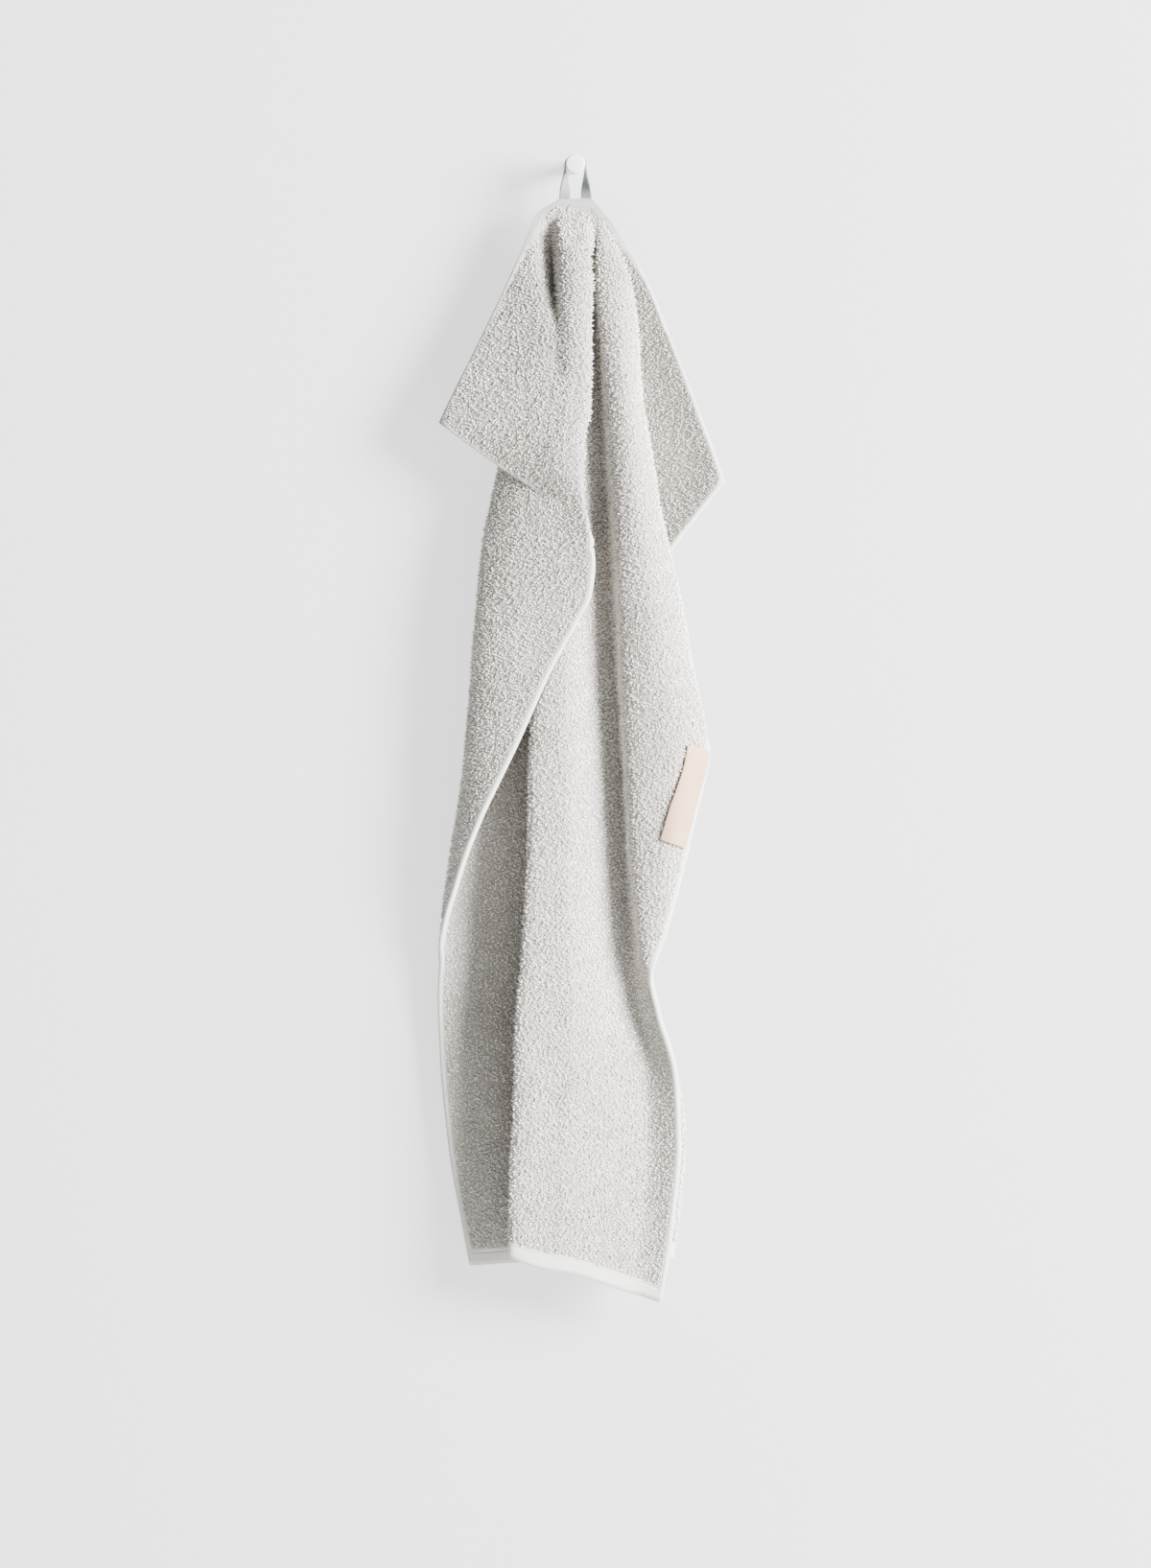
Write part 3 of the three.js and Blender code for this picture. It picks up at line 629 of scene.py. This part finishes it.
pile = []
for face, way in (("front", 1.0), ("back", -1.0)):
    i, j, u, v = pile_points()
    base, up = blend_cell(cloth, i, j, u, v), way * unit(blend_cell(normals, i, j, u, v))
    side = blend_cell(cloth[:, 1:] - cloth[:, :-1], i, np.minimum(j, COLUMNS - 2), u, v)
    free = has_room(base, up)
    corners = tuft_corners(base[free], up[free], side[free])
    tint = chance.random(len(corners))
    for band in range(PILE_BANDS):
        part = slice(band * len(tint) // PILE_BANDS, (band + 1) * len(tint) // PILE_BANDS)
        pile.append(pile_mesh(f"pile_{face}_{band + 1}", corners[part], tint[part]))
print("pile:", [(p.name, len(p.data.polygons)) for p in pile])

# %% [markdown]
# ## The hanging loop
#
# The loop is a narrow woven tape. It goes up from behind the hem, over the peg and down again. On
# the peg it lies flat on the round, so from the front it is seen edge on, and below it turns its
# face to the front. A grid follows that path. Solidify and a small bevel make it a soft-edged tape.

# %% Tape
SHAFT_RADIUS, TAPE_WIDTH, TAPE_THICKNESS = 3.2 * MM, 5.0 * MM, 0.9 * MM
TAPE_GAP, TAPE_OUT = 0.3 * MM, 20.6 * MM
TAPE_END_DROP, TAPE_END_ACROSS = 24.5 * MM, 5.2 * MM
TWIST_END, TAPE_SOFT_EDGE = 19.0 * MM, 0.25 * MM
TAPE_STEPS, TAPE_ACROSS = 96, 8
ARCH_UP, ARCH_ACROSS = SHAFT_RADIUS + TAPE_GAP + TAPE_THICKNESS / 2, 4.7 * MM
QUARTER = math.pi / 4 * (ARCH_UP + ARCH_ACROSS)


def ease(t):
    t = min(1.0, max(0.0, t))
    return t * t * (3 - 2 * t)


def tape_at(distance):
    """The tape's middle, and the way its width lies, at a distance along it from the peg's top."""
    side, rest = (1 if distance > 0 else -1), abs(distance)
    if rest < QUARTER:
        angle = math.pi / 2 * rest / QUARTER
        place = (side * ARCH_ACROSS * math.sin(angle), -TAPE_OUT, ARCH_UP * math.cos(angle))
        return place, (0.0, -1.0, 0.0)
    drop = rest - QUARTER
    across = side * (ARCH_ACROSS + (TAPE_END_ACROSS - ARCH_ACROSS) * ease(drop / TAPE_END_DROP))
    twist = math.pi / 2 * ease(drop / TWIST_END)
    return (across, -TAPE_OUT, -drop), (side * math.sin(twist), -math.cos(twist), 0.0)


reach = QUARTER + TAPE_END_DROP
tape_points = np.empty((TAPE_STEPS + 1, TAPE_ACROSS + 1, 3))
tape_measures = np.empty((TAPE_STEPS + 1, TAPE_ACROSS + 1, 2))
for i, distance in enumerate(np.linspace(-reach, reach, TAPE_STEPS + 1)):
    middle, wide = (np.array(v) for v in tape_at(distance))
    for j, offset in enumerate(np.linspace(-TAPE_WIDTH / 2, TAPE_WIDTH / 2, TAPE_ACROSS + 1)):
        tape_points[i, j], tape_measures[i, j] = middle + offset * wide, (offset, distance)
tape, down, right = flat_grid("loop_tape", TAPE_ACROSS, TAPE_STEPS)
shape_grid(tape, down, right, tape_points, tape_measures)
thicken(tape, TAPE_THICKNESS)
soften(tape, TAPE_SOFT_EDGE)
print("tape:", len(tape.data.polygons), "faces")

# %% [markdown]
# ## The peg
#
# The hook is a plain round peg, painted white, with a low round head that keeps the loop from
# slipping off and hides it from the front. Head and shaft are two cylinders pointing out from the
# wall. The head's front rim is beveled so that it catches the light, and the two are joined.

# %% Peg
PEG_LENGTH, HEAD_LENGTH, HEAD_RADIUS = 30.0 * MM, 4.0 * MM, 4.5 * MM
HEAD_ROUNDING, NECK_OVERLAP = 0.8 * MM, 0.5 * MM
PEG_SIDES, ROUNDING_STEPS = 72, 6


def cylinder(name, radius, start, end):
    """A round bar along the wall's normal, from one distance to the other."""
    bpy.ops.object.select_all(action="DESELECT")
    bpy.ops.mesh.primitive_cylinder_add(
        vertices=PEG_SIDES, radius=radius, depth=end - start, location=(0, -(start + end) / 2, 0),
        rotation=(math.pi / 2, 0, 0))
    bar = bpy.context.object
    bar.name = bar.data.name = name
    bpy.ops.object.transform_apply(location=True, rotation=True, scale=True)
    return bar


shaft = cylinder("peg_shaft", SHAFT_RADIUS, 0.0, PEG_LENGTH - HEAD_LENGTH + NECK_OVERLAP)
peg = cylinder("wall_peg", HEAD_RADIUS, PEG_LENGTH - HEAD_LENGTH, PEG_LENGTH)
bpy.ops.object.mode_set(mode="EDIT")
bpy.ops.mesh.select_all(action="DESELECT")
bpy.ops.object.mode_set(mode="OBJECT")
for face in peg.data.polygons:
    face.select = face.normal.y < -0.9
bpy.ops.object.mode_set(mode="EDIT")
bpy.ops.mesh.select_mode(type="FACE")
bpy.ops.mesh.region_to_loop()
bpy.ops.mesh.bevel(offset=HEAD_ROUNDING, segments=ROUNDING_STEPS, affect="EDGES")
bpy.ops.object.mode_set(mode="OBJECT")
shaft.select_set(True)
bpy.ops.object.join()
bpy.ops.object.shade_smooth_by_angle(angle=math.radians(35))
print("peg:", len(peg.data.polygons), "faces")

# %% [markdown]
# ## Materials
#
# White terry is cotton: rough, with a soft sheen from its fibres and a little warmth where light
# goes through the pile. The yarn's tips get a painted light and its foot a painted shade, over a
# random tone. The bare ground under the pile is painted dark, as the shade between the loops. The
# hems show a fine plain weave and a row of stitches, and beside the loop, where they are gathered,
# they get a painted shade. The tape is twill, the label a dense satin weave, and the peg has the
# slight orange-peel of brushed paint.

# %% Cotton
# The light end of the yarn also serves as the painted light on tuft tips, the dark end as the painted
# shade at their feet.
YARN_LIT_TIP_AND_LIGHT_TONE, YARN_SHADED_FOOT_AND_DARK_TONE = (0.92, 0.868, 0.797, 1), (0.375, 0.347, 0.312, 1)
YARN_CLOUD, YARN_GRAIN = 45.0, 2600.0
yarn = Finish("cotton_pile", Roughness=0.95, Sheen_Weight=0.25, Sheen_Roughness=0.6)
tint = yarn.node("ShaderNodeAttribute", {"attribute_name": "tint"}, output=2)
tip = yarn.node("ShaderNodeAttribute", {"attribute_name": "tip"}, output=2)
place = yarn.node("ShaderNodeTexCoord", output=3)
cloud = yarn.noise(place, YARN_CLOUD)
# The mix is a random tone (tint and cloud) plus a painted light on each tuft's tip and a painted shade at
# its foot.
share = 0.5 * tint + 0.55 * tip + 0.5 * (cloud - 0.4)
yarn.feed("Base Color", yarn.blend(share, YARN_SHADED_FOOT_AND_DARK_TONE, YARN_LIT_TIP_AND_LIGHT_TONE))
yarn.bump(yarn.noise(place, YARN_GRAIN), 0.1 * MM, 0.4)

HEM_LIGHT, HEM_DARK = (0.57, 0.555, 0.53, 1), (0.46, 0.45, 0.43, 1)
# The first of these colours is a painted shade on the top hem beside the loop. The second is the ground
# cloth, painted dark as the shade under the pile; it also shows as dark slits where the pile is left out.
TOP_HEM_PAINTED_SHADE, GROUND_PAINTED_SHADE = (0.25, 0.245, 0.236, 1), (0.28, 0.265, 0.243, 1)
TOP_HEM_SHADE_HEIGHTS = (-50 * MM, -22 * MM)
HEM_END, STITCH_START, STITCH_END = (0.95, 1.1), (0.72, 0.8), (0.84, 0.92)
HEM_MOTTLE = 260.0
THREADS = 2 * math.pi / (0.62 * MM)
weave_cloth = Finish("cotton_ground", Roughness=0.9, Sheen_Weight=0.2, Sheen_Roughness=0.6)
place = weave_cloth.node("ShaderNodeUVMap", {"uv_map": "threads"})
split = {"Vector": place}
over = weave_cloth.node("ShaderNodeSeparateXYZ", {}, split, output=0)
down_cloth = weave_cloth.node("ShaderNodeSeparateXYZ", {}, split, output=1)
weave = over.math("SINE", over * THREADS) * down_cloth.math("SINE", down_cloth * THREADS)
hem = weave_cloth.node("ShaderNodeAttribute", {"attribute_name": "hem_place"}, output=2)
is_hem = 1.0 - weave_cloth.ramp(hem, *HEM_END)
stitch_line = weave_cloth.ramp(hem, *STITCH_START) - weave_cloth.ramp(hem, *STITCH_END)
position = weave_cloth.node("ShaderNodeTexCoord", output=3)
mottle = weave_cloth.noise(position, HEM_MOTTLE)
hem_colour = weave_cloth.blend(0.35 + 0.4 * mottle + 0.12 * weave, HEM_DARK, HEM_LIGHT)
hem_colour = weave_cloth.blend(0.5 * stitch_line, hem_colour, HEM_DARK)
height = weave_cloth.node("ShaderNodeSeparateXYZ", {}, {"Vector": position}, output=2)
# Beside the loop the hem gets a painted shade, which fades out lower down.
top_hem_shade_share = weave_cloth.ramp(height, *TOP_HEM_SHADE_HEIGHTS)
hem_colour = weave_cloth.blend(0.85 * top_hem_shade_share, hem_colour, TOP_HEM_PAINTED_SHADE)
# Away from the hems the ground cloth takes its painted shade.
weave_cloth.feed("Base Color", weave_cloth.blend(is_hem, GROUND_PAINTED_SHADE, hem_colour))
weave_cloth.bump(weave * 0.5 + mottle - 2.0 * stitch_line, 0.16 * MM, 0.7)
print("cotton ready")

# %% Tape, label and paint
TAPE_LIGHT, TAPE_DARK = (0.17, 0.18, 0.19, 1), (0.095, 0.103, 0.11, 1)
TWILL, TAPE_FIBRE = 2 * math.pi / (0.85 * MM), 900.0
twill = Finish("cotton_tape", Roughness=0.85, Sheen_Weight=0.2, Sheen_Roughness=0.5)
place = twill.node("ShaderNodeUVMap", {"uv_map": "threads"})
over = twill.node("ShaderNodeSeparateXYZ", {}, {"Vector": place}, output=0)
down_cloth = twill.node("ShaderNodeSeparateXYZ", {}, {"Vector": place}, output=1)
rib = over.math("SINE", (over + down_cloth) * TWILL)
fibre = twill.noise(twill.node("ShaderNodeTexCoord", output=3), TAPE_FIBRE)
twill.feed("Base Color", twill.blend(0.45 + 0.25 * rib + 0.35 * fibre, TAPE_DARK, TAPE_LIGHT))
twill.bump(rib * 0.6 + fibre, 0.12 * MM, 0.8)

LABEL_LIGHT, LABEL_DARK = (0.40, 0.262, 0.152, 1), (0.335, 0.213, 0.124, 1)
SATIN, LABEL_FIBRE = 2 * math.pi / (0.5 * MM), 700.0
satin = Finish("woven_label", Roughness=0.6, Sheen_Weight=0.15)
place = satin.node("ShaderNodeUVMap", {"uv_map": "threads"})
over = satin.node("ShaderNodeSeparateXYZ", {}, {"Vector": place}, output=0)
down_cloth = satin.node("ShaderNodeSeparateXYZ", {}, {"Vector": place}, output=1)
cross = over.math("SINE", over * SATIN) * down_cloth.math("SINE", down_cloth * (SATIN * 0.5))
fibre = satin.noise(satin.node("ShaderNodeTexCoord", output=3), LABEL_FIBRE)
satin.feed("Base Color", satin.blend(0.5 + 0.2 * cross + 0.5 * (fibre - 0.5), LABEL_DARK, LABEL_LIGHT))
satin.bump(cross * 0.5 + fibre, 0.08 * MM, 0.6)

PAINT_LIGHT, PAINT_DARK = (0.58, 0.58, 0.57, 1), (0.52, 0.52, 0.51, 1)
PAINT_PEEL, PAINT_WEAR = 520.0, 90.0
paint = Finish("white_paint", Roughness=0.4, Coat_Weight=0.15)
place = paint.node("ShaderNodeTexCoord", output=3)
peel = paint.noise(place, PAINT_PEEL, 3.0)
wear = paint.noise(place, PAINT_WEAR, 3.0)
paint.feed("Base Color", paint.blend(wear, PAINT_DARK, PAINT_LIGHT))
paint.feed("Roughness", 0.34 + 0.16 * peel)
paint.bump(peel, 0.05 * MM, 0.35)
print("tape, label and paint ready")

# %% [markdown]
# ## Putting it together
#
# Every piece takes its finish and rides on the root. Where a piece stands for a solid, that solid
# is hidden.

# %% Pieces
for piece, finish, slot, node in (
    (towel, weave_cloth, "terry", "towel"),
    (tape, twill, "tape", "hanging_loop"),
    (label, satin, "label", "label"),
    (peg, paint, "hook", "hook"),
    *((piece, yarn, "terry", None) for piece in pile),
):
    piece.data.materials.clear()
    piece.data.materials.append(finish.material)
    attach(piece, "root")
    if node:
        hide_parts(node)
print("pieces:", 4 + len(pile))

# %% [markdown]
# ## The studio
#
# The picture was taken straight on, from far away, so a long lens looks along the wall's normal at
# the middle of the frame. A white wall stands behind the peg. It glows a little, which keeps it
# evenly pale, and it is clear from behind, so that the back of the towel can be looked at. One big
# soft light comes from the front right. What the pale floor throws back fills most of the shadows,
# and an even sky fills the rest.

# %% Wall, floor, light and camera
FRAME_HEIGHT, CAMERA_AWAY, CLOTH_OUT = 0.7243, 4.5, 0.025
CENTRE_HEIGHT = -0.2864
SENSOR = 24.0
WALL_SIZE, WALL_PLACE = 3.0, (0, 0.0005, 0.6)
FLOOR_SIZE, FLOOR_PLACE = 6.0, (0, -3.0, -0.9)
SKY_COLOUR, SKY_STRENGTH = (0.95, 0.97, 1.0, 1), 0.14
KEY_PLACE, KEY_AIM, KEY_SIZE, KEY_POWER = (2.05, -1.5, 0.35), (0, 0, -0.28), 1.25, 740.0
wall_paint = Finish("studio_wall", Roughness=0.9, Base_Color=(0.25, 0.25, 0.25, 1),
                    Emission_Color=(1, 1, 1, 1), Emission_Strength=1.6)
clear = wall_paint.node("ShaderNodeBsdfTransparent")
behind = wall_paint.node("ShaderNodeNewGeometry", output=6)
shown = wall_paint.node("ShaderNodeMixShader", {}, {
    0: behind, 1: Value(wall_paint, wall_paint.shader.outputs[0]), 2: clear})
wall_paint.tree.links.new(shown.socket, wall_paint.tree.nodes["Material Output"].inputs["Surface"])
floor_paint = Finish("studio_floor", Roughness=0.9, Base_Color=(0.60, 0.60, 0.59, 1))

bpy.ops.object.select_all(action="DESELECT")
bpy.ops.mesh.primitive_plane_add(size=WALL_SIZE, location=WALL_PLACE, rotation=(math.pi / 2, 0, 0))
wall = bpy.context.object
wall.name = "wall"
wall.data.materials.append(wall_paint.material)
bpy.ops.mesh.primitive_plane_add(size=FLOOR_SIZE, location=FLOOR_PLACE)
floor = bpy.context.object
floor.name = "floor"
floor.data.materials.append(floor_paint.material)

sky = bpy.data.worlds.new("pale_sky")
sky.use_nodes = True
sky.node_tree.nodes["Background"].inputs["Color"].default_value = SKY_COLOUR
sky.node_tree.nodes["Background"].inputs["Strength"].default_value = SKY_STRENGTH
bpy.context.scene.world = sky


def soft_light(name, place, aim, size, power):
    lamp = bpy.data.lights.new(name, "AREA")
    lamp.shape, lamp.size, lamp.energy = "DISK", size, power
    holder = bpy.data.objects.new(name, lamp)
    bpy.context.collection.objects.link(holder)
    holder.location = place
    holder.rotation_euler = (Vector(aim) - Vector(place)).to_track_quat("-Z", "Y").to_euler()


soft_light("key", KEY_PLACE, KEY_AIM, KEY_SIZE, KEY_POWER)

lens = bpy.data.cameras.new("long_lens")
lens.sensor_fit, lens.sensor_height = "VERTICAL", SENSOR
lens.lens = SENSOR * CAMERA_AWAY / FRAME_HEIGHT
camera = bpy.data.objects.new("camera", lens)
bpy.context.collection.objects.link(camera)
camera.location = (0, -CLOTH_OUT - CAMERA_AWAY, CENTRE_HEIGHT)
camera.rotation_euler = (math.pi / 2, 0, 0)
bpy.context.scene.camera = camera
print("studio ready")
